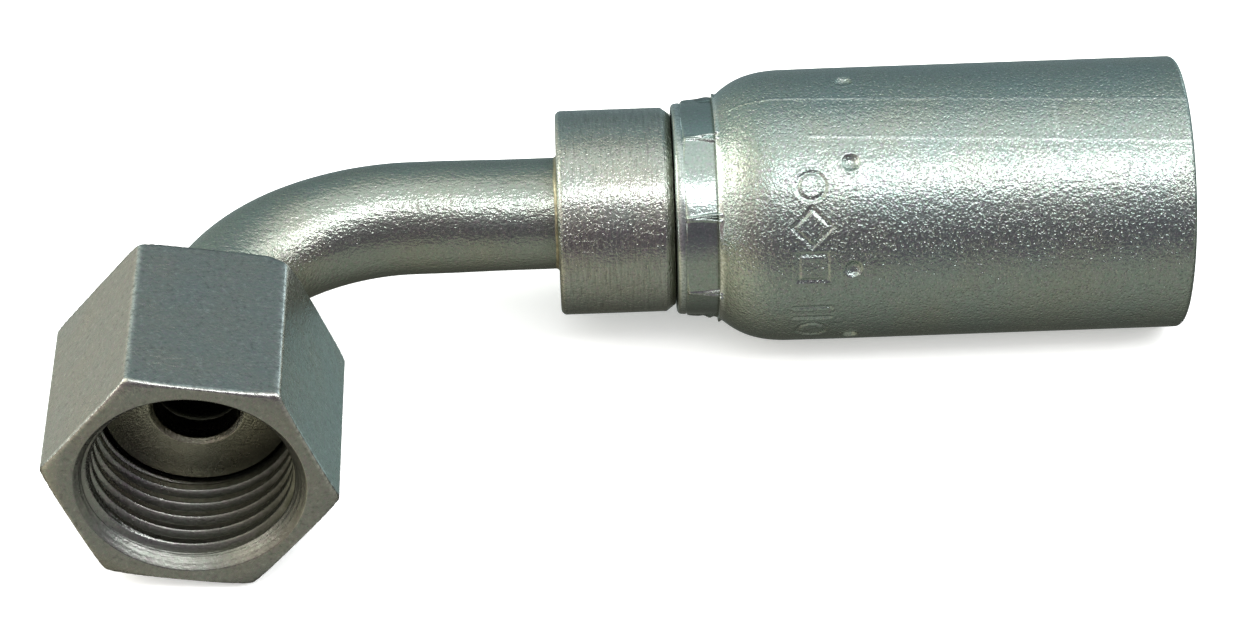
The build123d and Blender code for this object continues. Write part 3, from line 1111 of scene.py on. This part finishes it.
# ---------------------------------------------------------------------------------------------------
# Studio
# ---------------------------------------------------------------------------------------------------
class FITTING_OT_studio(bpy.types.Operator):
    """Build the pale floor, the soft lights, the room's glow and the camera"""

    bl_idname = "fitting.studio"
    bl_label = "Studio"

    def execute(self, context):
        self.floor()
        self.room(context.scene)
        self.lights()
        self.camera(context.scene)
        context.scene.view_settings.view_transform = "Standard"
        return {"FINISHED"}

    def floor(self):
        """A pale floor under the fitting. The metal reflects the room's glow in its place."""
        half, level = 2.5, CAD_BOX[0].z
        mesh = bpy.data.meshes.new("studio_floor")
        mesh.from_pydata(
            [(-half, -half, level), (half, -half, level), (half, half, level), (-half, half, level)],
            [],
            [(0, 1, 2, 3)],
        )
        floor = bpy.data.objects.new("studio_floor", mesh)
        bpy.context.scene.collection.objects.link(floor)
        recipe = Recipe(bpy.data.materials.new("pale_floor"))
        paint = {
            "Base Color": (0.93, 0.93, 0.93, 1.0),
            "Roughness": 0.9,
            "Specular IOR Level": 0.0,
            "Emission Color": (1.0, 1.0, 1.0, 1.0),
            "Emission Strength": 0.35,
        }
        for name, value in paint.items():
            recipe.shader.inputs[name].default_value = value
        mesh.materials.append(recipe.owner)
        floor.visible_glossy = False

    def room(self, scene):
        """A room that is dark in front, bright overhead, dim behind, grey below and brighter to the left."""
        recipe = Recipe(bpy.data.worlds.new("studio_room"), "Background")
        scene.world = recipe.owner
        direction = recipe.add("ShaderNodeTexCoord").outputs["Generated"]
        parts = recipe.add("ShaderNodeSeparateXYZ", {0: direction}).outputs
        forward = recipe.maths("MULTIPLY", parts["Y"], -1.0)
        turn = recipe.ramp(recipe.maths("ARCTAN2", parts["Z"], forward), -math.pi, math.pi)
        ramp = recipe.add("ShaderNodeValToRGB", {"Fac": turn})
        # glow by direction: degrees above the front, strength and tint
        stops = (
            (-180, 0.23, "cool"), (-150, 0.28, "cool"), (-128, 0.1, "warm"), (-110, 0.07, "warm"),
            (-84, 0.15, "warm"), (-50, 0.3, "warm"), (-22, 0.32, "warm"), (-9, 0.16, "violet"),
            (4, 0.11, "violet"), (18, 0.18, "violet"), (36, 0.34, "plain"), (50, 0.62, "plain"),
            (85, 0.62, "green"), (116, 0.41, "green"), (138, 0.36, "cool"), (160, 0.25, "cool"),
            (180, 0.23, "cool"),
        )
        tints = {
            "plain": (1, 1, 1), "warm": (1.0, 1.02, 0.86), "green": (0.94, 1.04, 0.96),
            "cool": (0.81, 1.04, 1.08), "violet": (1.06, 0.94, 1.06),
        }
        points = ramp.color_ramp.elements
        while len(points) < len(stops):
            points.new(0.5)
        for point, (degrees, glow, tint) in zip(points, stops):
            point.position = (degrees + 180) / 360
            point.color = (*(glow * c for c in tints[tint]), 1.0)
        leftward = recipe.ramp(parts["X"], -0.1, -0.7)
        glow = recipe.mix(leftward, ramp.outputs["Color"], (1.95, 1.78, 1.55), "MULTIPLY")
        recipe.wire(glow, recipe.shader.inputs["Color"])

    def lights(self):
        """A bright strip above the front, wide dim panels round the fitting and a wash over the floor."""
        middle = (CAD_BOX[0] + CAD_BOX[1]) / 2
        right, left = Vector((1.0, 0.0, 0.0)), Vector((-1.0, 0.0, 0.0))
        key, above = self.heading(60), self.heading(92)
        warm, leafy, icy, cream = (1.0, 0.72, 0.5), (0.6, 1.0, 0.85), (0.8, 0.97, 1.0), (1.0, 0.95, 0.87)
        self.panel("key_strip", middle + right * 0.5 + key * 0.6, -key, (1.15, 0.13), 4.6)
        self.panel("overhead", middle + right * 0.5 + above * 0.7, -above, (1.35, 0.64), 0.36)
        below = middle + left * 0.6 + self.heading(187) * 0.72
        self.panel("low_left_panel", below, right, (0.6, 0.6), 0.25, warm)
        low = (right * 0.5 + self.heading(211) * 0.87) * 0.9
        self.panel("low_right_panel", middle + low, -low, (0.5, 0.5), 0.12, leafy)
        beside = middle + left * 0.6 + self.heading(98) * 0.38
        self.panel("left_panel", beside, right, (0.42, 0.42), 2.2, cream)
        self.panel("right_panel", middle + right * 0.8 + above * 0.75, left, (0.9, 1.0), 0.6)
        behind = right * 0.64 + self.heading(172) * 0.77
        self.panel("edge_panel", middle + behind * 0.9, -behind, (0.22, 0.24), 1.1, icy)
        wash = self.heading(80)
        self.panel("floor_wash", middle + wash * 1.2, -wash, (2.4, 2.4), 2.0, seen=False)

    def heading(self, degrees):
        """A direction square to the stem, degrees above the front."""
        return Vector((0.0, -math.cos(math.radians(degrees)), math.sin(math.radians(degrees))))

    def panel(self, name, place, facing, size, glow, tint=(1.0, 1.0, 1.0), seen=True):
        """A rectangular soft light of even glow. An unseen one lights the floor but not the metal."""
        lamp = bpy.data.lights.new(name, "AREA")
        lamp.shape = "RECTANGLE"
        lamp.size, lamp.size_y = size
        lamp.energy = glow * math.pi * size[0] * size[1]
        lamp.color = tint
        holder = bpy.data.objects.new(name, lamp)
        bpy.context.scene.collection.objects.link(holder)
        holder.location = place
        holder.rotation_euler = facing.to_track_quat("-Z", "Y").to_euler()
        holder.visible_glossy = seen
        holder.visible_camera = False

    def camera(self, scene):
        """The camera looks down on the fitting from the front, with a slight roll."""
        lens = bpy.data.cameras.new("studio_camera")
        lens.lens, lens.sensor_width = 107.1, 36.0
        lens.clip_start, lens.clip_end = 0.01, 20.0
        holder = bpy.data.objects.new("studio_camera", lens)
        scene.collection.objects.link(holder)
        yaw, pitch, roll = -0.012, 0.7054, -0.028
        level = Vector((math.cos(yaw), math.sin(yaw), 0.0))
        ahead = Vector((-math.sin(yaw), math.cos(yaw), 0.0))
        forward = ahead * math.cos(pitch) - Vector((0.0, 0.0, math.sin(pitch)))
        upright = level.cross(forward)
        right = level * math.cos(roll) + upright * math.sin(roll)
        up = upright * math.cos(roll) - level * math.sin(roll)
        turned = Matrix((right, up, -forward)).transposed()
        place = Vector((31.742, -223.146, 198.166)) * MM
        holder.matrix_world = Matrix.Translation(place) @ turned.to_4x4()
        scene.camera = holder


class FITTING_PT_sidebar(bpy.types.Panel):
    """Lists the fitting's pieces and their sizes"""

    bl_idname = "FITTING_PT_sidebar"
    bl_label = "Hose Fitting"
    bl_space_type = "VIEW_3D"
    bl_region_type = "UI"
    bl_category = "Hose Fitting"

    def draw(self, context):
        column = self.layout.column()
        for operator in OPERATORS:
            column.operator(operator.bl_idname)
        for group in ("fitting_nut", "fitting_shell", "fitting_colours"):
            settings = getattr(context.scene, group)
            box = self.layout.box()
            for name in type(settings).__annotations__:
                box.prop(settings, name)


OPERATORS = (
    FITTING_OT_swivel_nut,
    FITTING_OT_seal_sleeve,
    FITTING_OT_bent_tube,
    FITTING_OT_braze_rings,
    FITTING_OT_hose_stem,
    FITTING_OT_crimp_shell,
    FITTING_OT_studio,
)
CLASSES = (NutSizes, ShellSizes, ZincColours, *OPERATORS, FITTING_PT_sidebar)


def register():
    """Adds the operators, the panel and the three groups of settings."""
    for item in CLASSES:
        bpy.utils.register_class(item)
    bpy.types.Scene.fitting_nut = PointerProperty(type=NutSizes)
    bpy.types.Scene.fitting_shell = PointerProperty(type=ShellSizes)
    bpy.types.Scene.fitting_colours = PointerProperty(type=ZincColours)


def unregister():
    """Takes them away again."""
    del bpy.types.Scene.fitting_colours
    del bpy.types.Scene.fitting_shell
    del bpy.types.Scene.fitting_nut
    for item in reversed(CLASSES):
        bpy.utils.unregister_class(item)


def main():
    """Builds the fitting and the studio."""
    register()
    bpy.ops.fitting.swivel_nut()
    bpy.ops.fitting.seal_sleeve()
    bpy.ops.fitting.bent_tube()
    bpy.ops.fitting.braze_rings()
    bpy.ops.fitting.hose_stem()
    bpy.ops.fitting.crimp_shell()
    bpy.ops.fitting.studio()


if __name__ == "__main__":
    main()
